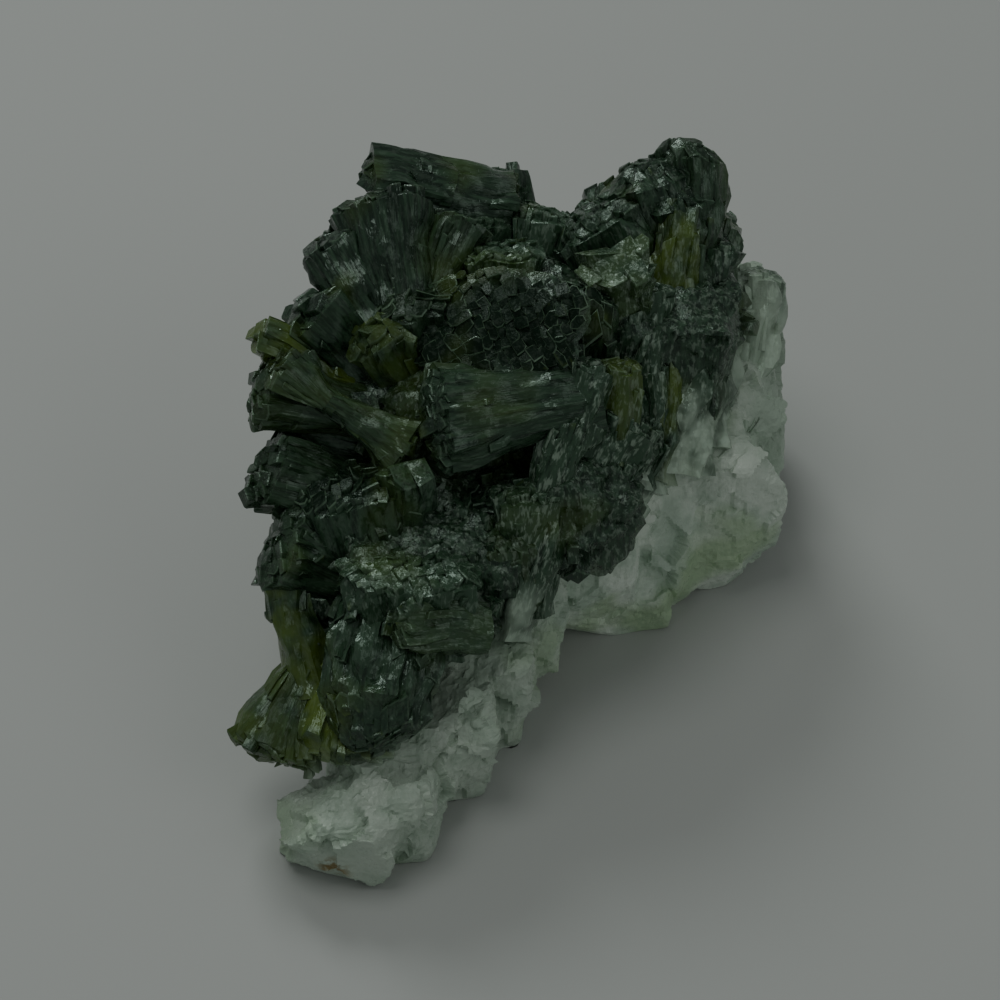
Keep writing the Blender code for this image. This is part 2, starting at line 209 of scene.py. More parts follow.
rock_mesh = rock.data
places = points_of(rock_mesh)
ways = normals_of(rock_mesh)
pushes = np.empty(len(places))
for index, place in enumerate(places):
    spot = Vector(place) / MM
    swell = noise.noise(spot * SWELL[0]) * SWELL[1]
    flaky = min(1.0, max(0.0, (FLAKY_FROM - spot.y - MIDDLE.y) / FLAKY_OVER))
    broken = 0.0
    for shift, (massive_size, massive_depth), (flaky_size, flaky_depth) in BREAKS:
        beside = spot + Vector((shift, 0, 0))
        broken += (facet(beside, massive_size) * massive_depth * (1 - flaky)
                   + facet(beside, flaky_size) * flaky_depth * flaky)
    sugar = sum(noise.noise(spot * close) * far for close, far in SUGAR)
    calm = min(1, place[2] / (ROCK_CALM * MM))
    pushes[index] = (swell + broken + sugar) * calm
places = places + ways * pushes[:, None] * MM
places = keep_inside(places)
places[:, 2] = np.maximum(places[:, 2], cad_low[2] + ROCK_FLAT * MM)
rock_mesh.vertices.foreach_set("co", places.ravel())
rock_mesh.update()


def paint(name, roughness):
    """A new material and its shader, with the parts that every stone here has in common."""
    material = bpy.data.materials.new(name)
    material.use_nodes = True
    shader = material.node_tree.nodes["Principled BSDF"]
    shader.inputs["Roughness"].default_value = roughness
    shader.inputs["Metallic"].default_value = 0
    return material, material.node_tree, shader


def speckle(tree, source, scale, detail=4, rough=0.55, stretch=(1, 1, 1)):
    """Noise over a surface, drawn out along an axis if stretch says so."""
    place = tree.nodes.new("ShaderNodeMapping")
    place.inputs["Scale"].default_value = stretch
    tree.links.new(source, place.inputs["Vector"])
    grain = tree.nodes.new("ShaderNodeTexNoise")
    grain.inputs["Scale"].default_value = scale
    grain.inputs["Detail"].default_value = detail
    grain.inputs["Roughness"].default_value = rough
    tree.links.new(place.outputs["Vector"], grain.inputs["Vector"])
    return grain.outputs["Fac"]


def band(tree, source, low, high, start=0.0, end=1.0):
    """Turn the values between low and high into a smooth rise from start to end."""
    rise = tree.nodes.new("ShaderNodeMapRange")
    rise.interpolation_type = "SMOOTHSTEP"
    rise.inputs["From Min"].default_value = low
    rise.inputs["From Max"].default_value = high
    rise.inputs["To Min"].default_value = start
    rise.inputs["To Max"].default_value = end
    tree.links.new(source, rise.inputs["Value"])
    return rise.outputs["Result"]


def blended(tree, share, first, second):
    """One colour laid over another, by a share from 0 to 1."""
    mix = tree.nodes.new("ShaderNodeMix")
    mix.data_type = "RGBA"
    tree.links.new(share, mix.inputs["Factor"])
    for socket, colour in ((mix.inputs["A"], first), (mix.inputs["B"], second)):
        if isinstance(colour, tuple):
            socket.default_value = (*colour, 1)
        else:
            tree.links.new(colour, socket)
    return mix.outputs["Result"]


def combined(tree, first, second, operation="MULTIPLY"):
    """Two values worked into one."""
    sum_node = tree.nodes.new("ShaderNodeMath")
    sum_node.operation = operation
    for socket, value in zip(sum_node.inputs, (first, second)):
        if isinstance(value, (int, float)):
            socket.default_value = value
        else:
            tree.links.new(value, socket)
    return sum_node.outputs["Value"]


def bumped(tree, shader, height, distance, strength, under=None):
    """Give a shader small relief from a height."""
    relief = tree.nodes.new("ShaderNodeBump")
    relief.inputs["Distance"].default_value = distance
    relief.inputs["Strength"].default_value = strength
    tree.links.new(height, relief.inputs["Height"])
    if under is not None:
        tree.links.new(under, relief.inputs["Normal"])
    tree.links.new(relief.outputs["Normal"], shader.inputs["Normal"])
    return relief.outputs["Normal"]


def distance_from(tree, where, point):
    """How far each spot of a surface is from a point, in metres."""
    node = tree.nodes.new("ShaderNodeVectorMath")
    node.operation = "DISTANCE"
    node.inputs[1].default_value = (point - MIDDLE) * MM
    tree.links.new(where, node.inputs[0])
    return node.outputs["Value"]


MATRIX_WHITE = (0.72, 0.81, 0.71)
MATRIX_GREY = (0.47, 0.59, 0.48)
MATRIX_GREEN = (0.34, 0.50, 0.27)
# Painted shade for the matrix away from its right lobe, which leaves the lobe looking lit through the stone.
MATRIX_PAINTED_SHADE = (0.34, 0.43, 0.34)
OCHRE = (0.22, 0.17, 0.06)
LIT_LOBE_AT = Vector((16, 8, 8))
STAIN_AT = Vector((-16.6, -28.6, 3.0))

pale, tree, shader = paint("pale_matrix", 0.5)
where = tree.nodes.new("ShaderNodeTexCoord").outputs["Object"]
clouds = speckle(tree, where, 160, 4, 0.6)
grains = speckle(tree, where, 1100, 3, 0.6)
patches = speckle(tree, where, 95, 2, 0.5)
colour = blended(tree, band(tree, clouds, 0.38, 0.62), MATRIX_GREY, MATRIX_WHITE)
colour = blended(tree, band(tree, patches, 0.52, 0.68, 0.0, 0.75), colour, MATRIX_GREEN)
# Painted shade dims the matrix away from its right lobe, so the lobe looks lit by light coming through the
# stone.
from_lit_lobe = distance_from(tree, where, LIT_LOBE_AT)
colour = blended(tree, band(tree, from_lit_lobe, 0.009, 0.022, 0.0, 0.6), colour, MATRIX_PAINTED_SHADE)
close = band(tree, distance_from(tree, where, STAIN_AT), 0.0006, 0.0024, 1.0, 0.0)
spots = band(tree, speckle(tree, where, 900), 0.42, 0.55)
colour = blended(tree, combined(tree, close, spots), colour, OCHRE)
tree.links.new(colour, shader.inputs["Base Color"])
tree.links.new(band(tree, grains, 0.35, 0.65, 0.25, 0.6), shader.inputs["Roughness"])
bumped(tree, shader, grains, 0.0004, 0.6)
rock_mesh.materials.clear()
rock_mesh.materials.append(pale)
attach(rock, "root")
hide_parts("matrix")

# The green crystals
# Prehnite that grew out of the matrix in fans and bow ties of slim blades, side by side.
# Each fan is narrow at its waist and ends in a domed cap, a mosaic of small squarish crystal ends.
# The fans grew through each other and through massive prehnite, so all of it is one stone.

# The view that the fans' places are read in: how steeply it looks down, from how far away,
# and how high the point is that it looks at.
VIEW_TILT = math.radians(48)
VIEW_DISTANCE = 300.0
VIEW_HEIGHT = 26.3
RIGHT = Vector((1, 0, 0))
RAISED = Vector((0, math.sin(VIEW_TILT), math.cos(VIEW_TILT)))
AWAY = Vector((0, math.cos(VIEW_TILT), -math.sin(VIEW_TILT)))

# Each fan: name, waist point, cap point, which way the cap is wide, size at the waist,
# size at the cap, bulge of the cap, width of one crystal, and how yellow it is.
# Points are across, up and away from the point that the viewer looks at, in millimetres.
FRONT_FANS = [
    ("top_left_prism", (-13, 32.5, 8), (1.8, 29.6, 11), (0.6, 0.55, 0.5), (7, 5.5), (6.4, 5), 0.4, 1.6, 0.1),
    ("prism_end", (-5, 31, 9.5), (-13.0, 32.7, 8.2), (0.6, 0.55, 0.5), (6.4, 5), (6.2, 5), 2.4, 1.6, 0.1),
    ("upper_left_fan", (-9, 14, 3), (-11.8, 30.2, 7), (1, 0.35, 0), (7, 6), (11, 8), 2.0, 1.5, 0.1),
    ("upper_left_step", (-11, 15, 3), (-17, 25.6, 6), (0.6, 1, 0), (6, 5), (7, 6), 1.0, 1.5, 0.1),
    ("upper_blades", (-8, 16, 4), (-3.6, 28.5, 6), (1, -0.4, 0), (4, 4), (6, 5), 0.6, 1.2, 0.2),
    ("saddle_left", (-5, 18, 12), (-1.5, 29, 9.5), (1, 0, 0), (5, 5), (7, 5), 1.0, 1.0, 0.1),
    ("saddle_middle", (2, 18, 13), (4.2, 29, 10), (1, 0, 0), (5, 5), (7, 5), 1.0, 1.0, 0.1),
    ("saddle_front", (0, 15, 9), (0.5, 25.5, 5), (1, 0, 0), (6, 5), (9, 6), 1.0, 1.0, 0.1),
    ("right_mass_left", (15, 17, 14), (8.8, 29.0, 9.5), (1, 0.5, 0), (8, 7), (11, 9), 1.8, 1.3, 0.0),
    ("right_mass_top", (17.5, 20, 15), (14.4, 33.4, 10.5), (1, 0.3, 0), (8, 7), (9, 8), 2.2, 1.2, 0.0),
    ("top_knob", (18.5, 8, 12), (18.6, 35.2, 11.5), (1, 0, 0), (5, 6), (6.8, 7), 2.6, 1.2, 0.2),
    ("wall_upper", (20, 8, 13), (20.4, 26.0, 12.6), (1, 0, 0), (6, 6), (8, 6.5), 1.6, 1.2, 0.1),
    ("knob_front", (17.6, 20, 15), (17.4, 31.2, 9.4), (1, 0.2, 0), (5, 5), (7, 6), 1.8, 1.1, 0.1),
    ("wall_ridge", (15.5, 2, 9), (17.6, 30, 9.5), (1, 0, 0), (4, 5), (4, 5), 0.8, 1.0, 0.6),
    ("right_lobe", (20.5, 5, 15), (20.9, 28.4, 16.5), (1, 0, 0), (6, 7), (6.8, 8), 1.8, 1.2, 0.25),
    ("right_edge", (23, 4, 18), (26, 22.5, 19), (1, 0, 0), (5, 6), (5.5, 7), 1.2, 1.2, 0.1),
    ("wall_middle", (17.5, 3, 11.5), (20, 21, 11.5), (1, 0, 0), (7, 7), (6, 6), 1.0, 1.2, 0.0),
    ("wall_left", (12.8, 1, 8), (13.2, 21.5, 7), (1, 0, 0), (7, 6), (8, 6), 1.0, 1.2, 0.0),
    ("bright_crystal", (12.5, 19, 7), (11.6, 24.0, 1.6), (1, 0.2, 0), (5.4, 5), (7.2, 5.8), 0.3, 2.6, 0.35),
    ("rosette", (1.5, 14, 12), (-0.5, 18.0, -1.5), (1, -0.08, 0), (14, 9), (20, 12), 2.2, 1.45, 0.1),
    ("dark_dome", (8, 10, 10), (8.2, 20.4, 1), (1, -0.3, 0), (6, 6), (7, 7), 2.6, 1.6, 0.0),
    ("rosette_left", (-6, 10, 8), (-9.0, 20.6, 1), (1, 0.3, 0), (6, 5), (8, 7), 1.4, 1.4, 0.2),
    ("yellow_cells", (-8, 10, 6), (-12.6, 17.6, 0.3), (1, 0.4, 0), (6, 5), (8, 6.5), 1.4, 1.4, 0.45),
    ("smooth_slope", (-12, 12, 5), (-19.5, 19, 1.5), (0.6, 1, 0), (6, 5), (7, 7), 0.6, 1.8, 0.1),
    ("left_prism", (-15, 12, 4), (-24.2, 16.6, 0.2), (0.2, 1, 0), (3.4, 4), (3.2, 4), 0.2, 1.8, 0.55),
    ("left_fringe", (-12, 8, 4), (-24, 11.4, 1), (0, 1, 0), (5, 5), (9, 7), 1.2, 1.2, 0.3),
    ("bow_tie_left", (-16.5, 9, -1), (-21.6, 13.6, -1.5), (0.6, 1, 0), (2.6, 3), (5, 4), 0.4, 1.1, 0.35),
    ("bow_tie_right", (-17.2, 9.6, -1), (-8.6, 4.6, -0.5), (0.6, 1, 0), (2.6, 3), (7.5, 6), 0.6, 1.1, 0.25),
    ("left_notch", (-12, 5, 6), (-21.5, 6.5, 4.5), (0, 1, 0), (6, 6), (7, 7), 1.2, 1.3, 0.0),
    ("left_shelf", (-14, 0, 4), (-23.8, 3.2, 0.5), (0, 1, 0), (6, 6), (8, 7), 1.0, 1.4, 0.2),
    ("left_big_fan", (-11, -11, 6), (-15.0, 2.2, -1), (1, -0.1, 0), (10, 8), (13, 9), 2.0, 1.4, 0.1),
    ("left_low_fan", (-13, -8, 4), (-22.3, -3.5, 0), (0.2, 1, 0), (8, 6), (10, 8), 1.2, 1.4, 0.2),
    ("glint_block", (-9, -4, 2), (-9.4, 3.0, -3.6), (1, -0.2, 0), (4, 3.6), (4.6, 4), 0.2, 2.4, 0.0),
    ("barrel", (9, 10.5, 2), (-7, 7.8, -1.5), (0, 1, 0), (8, 8), (11, 9), 1.6, 1.2, 0.05),
    ("recess_fan", (0, -6, 8), (-1.5, 1.5, 1.5), (1, 0, 0), (7, 6), (10, 6), 0.8, 1.3, 0.1),
    ("recess_step", (1.5, -11, 4), (0.2, -3, -0.6), (1, 0.1, 0), (5, 5), (7, 5), 1.0, 1.2, 0.3),
    ("glints_fan", (2.5, -11, 4), (3, 1.5, -0.5), (1, 0.2, 0), (5, 5), (8, 6), 0.8, 1.1, 0.0),
    ("long_ridge", (0.8, -13.5, 3.5), (8.8, 13.8, 0), (1, 0, 0), (4, 6), (5, 6), 0.6, 1.0, 0.0),
    ("ridge_sheet", (5.6, -6, 6), (12.3, 9, 3), (1, 0.2, 0), (6, 6), (9, 7), 1.0, 1.1, 0.0),
    ("low_ridge", (11, -2, 8), (14.2, 7, 6), (1, 0.3, 0), (6, 5), (7, 5), 1.0, 1.1, 0.0),
    ("yellow_lens", (10.5, 1, 4), (12.2, 13.5, 0.8), (1, 0, 0), (4, 4), (4.2, 5), 0.8, 1.3, 0.5),
    ("recess_low", (-2.5, -12, 5), (-3.2, -2.6, 0.6), (1, -0.2, 0), (5, 5), (7, 5), 1.2, 1.1, 0.2),
    ("ridge_foot", (9.5, -4.5, 8), (10.0, 1.8, 3.2), (1, 0.2, 0), (5, 5), (8, 6), 1.0, 1.1, 0.0),
    ("blob_barrel", (-9.5, -5, 2.5), (-12.9, -23.8, -4.5), (1, 0, 0), (11.6, 11), (10.6, 10.4),
     4.5, 1.3, 0.0),
    ("blob_top", (-9, -14, 0), (-8.9, -6.4, -5.0), (1, 0.1, 0), (11, 8), (14, 8), 1.4, 1.5, 0.0),
    ("pale_block", (-1.2, -12.5, -3), (-10.7, -12.4, -6.0), (0.1, 1, 0), (5, 4), (6.2, 5), 1.6, 1.2, 0.3),
    ("blob_skirt", (-4, -9, 0), (-4.0, -14.5, -3.4), (1, 0.4, 0), (5, 5), (5, 5), 1.0, 1.4, 0.1),
    ("front_left_fan", (-18.5, -15, 1), (-23.0, -26, -0.2), (1, -0.45, 0), (4, 5), (10.5, 8), 1.6, 1.3, 0.45),
    ("yellow_strip", (-18.6, -20, 0.5), (-21.6, -6, 1.2), (1, 0, 0), (5.4, 6), (3.8, 5), 1.4, 1.2, 0.6),
    ("yellow_mass", (-14.5, -15, 2), (-16.2, -26, -1.2), (1, -0.1, 0), (9, 7), (11, 7), 0.8, 1.5, 0.9),
]

# Fans that hold white streaks of the matrix in their crystals, and how much of them.
STREAKED = {
    "bright_crystal": 0.6, "wall_ridge": 0.3, "wall_middle": 0.6, "wall_left": 0.6, "wall_upper": 0.4,
    "right_edge": 0.8, "right_lobe": 0.35, "long_ridge": 0.6, "ridge_sheet": 0.6, "low_ridge": 0.7,
    "ridge_foot": 0.75, "glints_fan": 0.5, "yellow_lens": 0.4, "pale_block": 0.2, "blob_skirt": 0.5,
    "saddle_front": 0.3, "saddle_left": 0.3, "saddle_middle": 0.3, "barrel": 0.12, "blob_top": 0.3,
    "recess_step": 0.3, "recess_low": 0.3, "right_mass_left": 0.2, "right_mass_top": 0.2,
}
PLAIN_STREAKS = 0.08

# Fans lighter or darker than usual: their own tone, and on the glinting fans also a painted highlight.
LIGHTER_TONE_AND_SHEEN = {
    "saddle_left": 0.36, "saddle_middle": 0.36, "saddle_front": 0.34, "blob_top": 0.24, "blob_barrel": 0.04,
    "bright_crystal": 0.40, "right_mass_left": 0.05, "glint_block": 0.12, "pale_block": 0.18,
    "wall_middle": 0.2, "wall_left": 0.2, "low_ridge": 0.16, "ridge_foot": 0.14, "ridge_sheet": 0.12,
    "barrel": 0.03, "top_left_prism": -0.03, "prism_end": -0.03, "upper_left_fan": -0.06,
    "upper_left_step": -0.06, "left_low_fan": 0.02, "glints_fan": 0.22, "long_ridge": 0.12,
}

# Caps where the crystals stand at an angle to the fan's wide way, in radians.
GRID_TURNS = {
    "rosette": 0.5, "rosette_left": -0.4, "blob_top": 0.35, "right_mass_top": 0.6, "right_mass_left": 0.3,
    "yellow_cells": 0.3, "saddle_front": 0.5, "saddle_left": 0.3, "saddle_middle": -0.4, "left_big_fan": 0.2,
}
PLAIN_TURN = 0.3

# Fans at the back and on the far left, by their own place in the part.
BACK_FANS = [
    ("back_left_high", (-4, 20, 29), (-17, 30, 36), (0, 0.4, 1), (8, 7), (10, 9), 1.6, 1.5, 0.1),
    ("back_left_low", (-4, 18, 24), (-20.5, 24, 25), (0, 1, 0.2), (9, 8), (12, 9), 1.8, 1.5, 0.1),
    ("back_left_front", (-6, 8, 24), (-21.5, 12, 21), (0, 1, 0), (8, 8), (10, 9), 1.4, 1.4, 0.2),
    ("back_left_foot", (-6, 12, 16), (-19.5, 19, 11), (0, 1, 0.3), (8, 7), (11, 8), 1.6, 1.5, 0.2),
    ("back_left_toe", (-8, 0, 14), (-21, 3, 9), (0.1, 1, 0.2), (8, 7), (11, 8), 1.4, 1.4, 0.3),
    ("back_middle_high", (2, 20, 30), (-3, 36, 37), (1, 0, 0.2), (9, 7), (11, 8), 1.6, 1.5, 0.0),
    ("back_middle", (4, 22, 24), (2, 39.5, 25), (1, 0, 0), (9, 8), (12, 9), 1.8, 1.5, 0.1),
    ("back_right_high", (14, 24, 27), (14, 40, 30.5), (1, 0, 0), (8, 7), (11, 9), 1.4, 1.4, 0.1),
    ("back_right", (16, 26, 24), (22.4, 41, 26), (1, -0.4, 0), (8, 7), (10, 9), 1.4, 1.5, 0.2),
    ("back_left_corner", (-4, 22, 22), (-13, 37, 21), (1, 0.6, 0), (8, 7), (11, 9), 1.6, 1.5, 0.1),
]

# Massive prehnite between the fans: middle and half sizes. Stub crystals stand on it.
GREEN_HEARTS = [
    ((-6, 14, 27), (14, 13, 10)),
    ((16, 25, 28), (11, 12, 10)),
    ((-14, -9, 13), (8, 10, 7)),
    ((-7, 0, 19), (11, 12, 9)),
    ((2, 25, 27), (16, 12, 10)),
    ((7, 6, 22), (8, 10, 8)),
]
HEART_POINTS = 32
HEART_VOXEL = 0.7
HEART_BREAK = (1.7, 0.8)
HEART_SWELL = (0.4, 0.6)
STUBS = 40

# What a heart looks like: how yellow, streaked, dark at its ends, pale at its roots and lighter it is.
HEART_LOOK = (0.1, 0.35, 0.3, 0.0, 0.0)

# The outlines that a crystal's end may have, on a square from -1 to 1.
END_SHAPES = [
    [(-1, -1), (1, -1), (1, 1), (-1, 1)],
    [(-1, -1), (1, -1), (1, 0.35), (0.45, 1), (-1, 1)],
    [(-1, -0.5), (-0.4, -1), (1, -1), (1, 0.45), (0.5, 1), (-1, 1)],
    [(-1, -0.45), (-0.45, -1.05), (0.5, -1), (1.05, -0.3), (0.85, 0.7), (0.1, 1.1), (-0.8, 0.75)],
    [(-0.95, -0.7), (0.1, -1.1), (1, -0.6), (0.9, 0.6), (0, 1.05), (-1, 0.6)],
]
END_WEIGHTS = (20, 20, 20, 22, 18)
UNEVEN = 0.16
TURN_SPREAD = 0.3
OVERLAP = 1.10

# The rings of one crystal: how far up it is, how far out, how wide, and how far below the end.
RIM_WIDTH = 0.87
RIM_DROP = 0.13
BLADE_RINGS = [
    (0.0, 0.8, 1.0, 0.0),
    (0.5, 0.96, 1.0, 0.0),
    (1.0, 1.0, 1.0, RIM_DROP),
    (1.0, 1.0, RIM_WIDTH, 0.0),
]
SIDE, EDGE, END = 0.0, 0.5, 1.0
EDGE_RING = 2

# How fans open out, and how their caps are domed and rounded off.
FLARE = 1.6
DOME_HEIGHT = 1.25
DOME_SHARE = 0.6
ROUNDNESS = 0.32
CAP_REACH = 0.78

# The crystals of a cap: how uneven they are, the share near its edge that broke off and by how much,
# the chance from which they stand out and by how much, how long they are, and how far their ends tilt.
CAP_SPREAD = 0.1
BROKEN_SHARE = 0.22
BROKEN_BY = (0.3, 1.3)
PROUD_FROM = 0.93
PROUD_BY = (0.2, 0.6)
CAP_LENGTHS = (2.0, 5.0)
CAP_TILT = 0.2

# The steps down the sides: how far up they are, how long, how wide and how deep as a share
# of a crystal's width, how far they stand out, and how far their ends tilt.
STEP_HEIGHTS = (0.25, 0.92)
STEP_LENGTHS = (1.2, 5.0)
STEP_WIDTHS = (0.5, 1.25)
STEP_DEPTHS = (0.5, 0.9)
STEP_PROUD = (0.05, 0.35)
STEP_TILT = 0.35

# The stub crystals: how wide they are, how flat, how far they stand out and how far they tilt.
STUB_WIDTHS = (0.8, 2.2)
STUB_FLATNESS = (0.5, 0.9)
STUB_PROUD = (0.3, 1.4)
STUB_TILT = 0.25

# The inside of a fan: how far it is sunk below the crystals' ends, its steps, its squareness,
# the rings over its top, and its ribs by how close they are and how deep.
SUNK = 0.45
BODY_STEP = 1.1
BODY_EDGE = 0.6
BODY_CORNERS = (28, 72)
BODY_SQUARE = 2.6
BODY_TOP_RINGS = (0.93, 0.7, 0.4, 0.04)
RIBS = ((0.9, 0.55), (2.1, 0.3))

# How much side each step of broken crystals has to itself, where it isn't as usual,
# in square millimetres.
SIDE_STEPS = {
    "top_left_prism": 50, "smooth_slope": 26, "left_prism": 30, "yellow_strip": 60, "bow_tie_left": 24,
    "bow_tie_right": 24, "barrel": 40, "glint_block": 30, "bright_crystal": 12, "yellow_mass": 16,
    "wall_upper": 6, "wall_ridge": 8, "right_lobe": 6, "right_edge": 7, "wall_middle": 6, "wall_left": 6,
    "long_ridge": 6, "ridge_sheet": 5, "low_ridge": 5, "ridge_foot": 5, "blob_barrel": 6, "blob_skirt": 6,
    "pale_block": 22, "recess_fan": 7, "recess_step": 7, "recess_low": 7,
}
PLAIN_SIDES = 18

# How lumpy the sides are, where they aren't as smooth as usual, in millimetres.
LUMPS = {
    "wall_upper": 1.1, "right_lobe": 1.1, "right_edge": 1.0, "wall_middle": 1.1, "wall_left": 1.1,
    "long_ridge": 0.8, "ridge_sheet": 1.0, "low_ridge": 1.0, "ridge_foot": 1.0, "blob_barrel": 1.2,
    "blob_skirt": 1.0, "blob_top": 1.0, "right_mass_left": 0.9, "right_mass_top": 0.9, "top_knob": 0.9,
    "knob_front": 0.9, "wall_ridge": 0.7, "yellow_mass": 0.7,
}
PLAIN_LUMPS = 0.35

# How much darker than their sides the crystals' ends are, where they aren't as usual.
DARK_ENDS = {
    "rosette": 0.9, "rosette_left": 0.8, "dark_dome": 0.9, "left_big_fan": 0.7, "bright_crystal": 0.0,
    "blob_top": 0.0, "glint_block": 0.0, "glints_fan": 0.0, "saddle_left": 0.0, "saddle_middle": 0.0,
    "saddle_front": 0.0,
}
PLAIN_DARKNESS = 0.35

# How far up from their roots some fans are pale, as a share of their length.
PALE_ROOTS = {
    "right_edge": 1.15, "right_lobe": 0.65, "wall_middle": 0.55, "wall_left": 0.35, "low_ridge": 0.6,
    "ridge_foot": 0.6, "ridge_sheet": 0.5, "long_ridge": 0.3, "blob_skirt": 0.5, "wall_ridge": 0.2,
    "back_left_toe": 0.6, "back_left_foot": 0.5,
}
ROOT_FADE = 0.3

# All crystals are this much finer than the widths above.
FINER = 0.86

# The crease above which two faces meet in a sharp edge.
CREASE = math.radians(38)

# How the whole cluster sways out of true: how close the waves are and how far they reach.
SWAYS = ((0.14, 0.8), (0.42, 0.42))


def seen(across, up, away):
    """The place in space of a point that the viewer sees across, up and away from the middle."""
    spread = 1 + away / VIEW_DISTANCE
    return Vector((0, 0, VIEW_HEIGHT)) + spread * (across * RIGHT + up * RAISED) + away * AWAY


def seen_way(across, up, away):
    """A direction that the viewer sees across, up and away."""
    return across * RIGHT + up * RAISED + away * AWAY


def ways_of(waist_at, cap_at, wide):
    """A fan's length, and its directions: along it, across its cap and the other way over its cap."""
    along = cap_at - waist_at
    length = along.length
    along.normalize()
    first = (wide - wide.dot(along) * along).normalized()
    return length, along, first, along.cross(first)


def half_sizes(fan_row, height):
    """Half of a fan's size, its first way and its second way, at a height above its waist."""
    waist_at, cap_at, wide, waist, cap = fan_row
    flare = max(height / (cap_at - waist_at).length, 0.0) ** FLARE
    return [(waist[k] + (cap[k] - waist[k]) * flare) / 2 for k in range(2)]


def blade(fan_row, spot, foot, top, dome_slope, end_tilt, outline):
    """The rings of points of one crystal, from its foot inside the fan to its bevelled end."""
    waist_at, cap_at, wide, waist, cap = fan_row
    length, along, first, second = ways_of(waist_at, cap_at, wide)
    rings = []
    for level, inward, fat, drop in BLADE_RINGS:
        height = foot + (top - foot) * level
        half = half_sizes(fan_row, height)
        ring = []
        for a, b in outline:
            u = (spot[0] * inward + a * fat) * half[0]
            w = (spot[1] * inward + b * fat) * half[1]
            rise = 0.0
            if level == 1.0:
                rise = a * fat * (half[0] * end_tilt[0] - dome_slope * spot[0])
                rise += b * fat * (half[1] * end_tilt[1] - dome_slope * spot[1]) - drop
            ring.append(waist_at + along * (height + rise) + first * u + second * w)
        rings.append(ring)
    return rings


def on_square(angle):
    """The point at an angle on a circle that is a little squared off."""
    cosine, sine = math.cos(angle), math.sin(angle)
    return (math.copysign(abs(cosine) ** (2 / BODY_SQUARE), cosine),
            math.copysign(abs(sine) ** (2 / BODY_SQUARE), sine))


def fan_body(fan_row, bulge, number, lumps):
    """The rings of points of a fan's inside: a ribbed trumpet, a little lower than its crystals."""
    waist_at, cap_at, wide, waist, cap = fan_row
    length, along, first, second = ways_of(waist_at, cap_at, wide)
    around = min(BODY_CORNERS[1], max(BODY_CORNERS[0], round((cap[0] + cap[1]) * 1.6 / BODY_EDGE)))
    rows = max(4, round(length / BODY_STEP))
    levels = [(row / rows, 1.0) for row in range(rows + 1)]
    levels += [(1.0, inset) for inset in BODY_TOP_RINGS]
    dome = DOME_HEIGHT * bulge
    rings = []
    for share, inset in levels:
        ring = []
        for corner in range(around):
            angle = 2 * math.pi * corner / around
            x, y = [value * inset for value in on_square(angle)]
            height = share * (length - bulge + dome * (1 - DOME_SHARE * (x * x + y * y)) - SUNK)
            half = half_sizes(fan_row, height)
            rib_at = Vector((x * cap[0] / 2, y * cap[1] / 2, 7.3 * number + 0.06 * height))
            lump_at = Vector((x * cap[0] / 2, y * cap[1] / 2, 0.6 * height + 5.1 * number))
            rib = sum(noise.noise(rib_at * close) * deep for close, deep in RIBS)
            lump = noise.noise(lump_at * 0.5) * lumps * 1.6
            grow = inset * (rib * half[0] * 2 / cap[0] + lump)
            out = Vector((math.cos(angle), math.sin(angle)))
            u = x * half[0] + out[0] * grow
            w = y * half[1] + out[1] * grow
            ring.append(waist_at + along * height + first * u + second * w)
        rings.append(ring)
    return rings


def rings_object(rings, number, shade, edge_ring):
    """A closed mesh over rings of points, which remembers its fan and what each face of it is."""
    corners = len(rings[0])
    places = [(place - MIDDLE) * MM for ring in rings for place in ring]
    faces = []
    kinds = []
    for ring in range(len(rings) - 1):
        for corner in range(corners):
            here = ring * corners + corner
            beside = ring * corners + (corner + 1) % corners
            faces.append((here, beside, beside + corners, here + corners))
            kinds.append(EDGE if ring == edge_ring else SIDE)
    last = (len(rings) - 1) * corners
    faces.append(tuple(range(last, last + corners)))
    kinds.append(SIDE if edge_ring is None else END)
    faces.append(tuple(reversed(range(corners))))
    kinds.append(SIDE)
    mesh = bpy.data.meshes.new("blade")
    mesh.from_pydata(places, [], faces)
    mark(mesh, "fan", "INT", [number] * len(faces))
    mark(mesh, "kind", "FLOAT", kinds)
    mark(mesh, "shade", "FLOAT", [shade] * len(faces))
    return bpy.data.objects.new("blade", mesh)


def mark(mesh, name, kind, values):
    """Keep a value for each face of a mesh."""
    mesh.attributes.new(name, kind, "FACE").data.foreach_set("value", values)


def shares(draw, count):
    """Split the way from -1 to 1 in uneven steps."""
    steps = [draw.uniform(0.55, 1.45) for _ in range(count)]
    whole = sum(steps)
    at = -1.0
    parts = []
    for step in steps:
        wide = 2 * step / whole
        parts.append((at + wide / 2, wide / 2))
        at += wide
    return parts


def end_outline(draw, half, turn, cap):
    """The outline of one crystal's end around its middle, as shares of the cap's half sizes."""
    turn += draw.uniform(-TURN_SPREAD, TURN_SPREAD)
    cosine, sine = math.cos(turn), math.sin(turn)
    quarter = draw.randrange(4)
    outline = []
    for a, b in draw.choices(END_SHAPES, weights=END_WEIGHTS)[0]:
        for _ in range(quarter):
            a, b = -b, a
        a = (a + draw.uniform(-UNEVEN, UNEVEN)) * half[0] * OVERLAP
        b = (b + draw.uniform(-UNEVEN, UNEVEN)) * half[1] * OVERLAP
        outline.append(((a * cosine - b * sine) * 2 / cap[0], (a * sine + b * cosine) * 2 / cap[1]))
    return outline


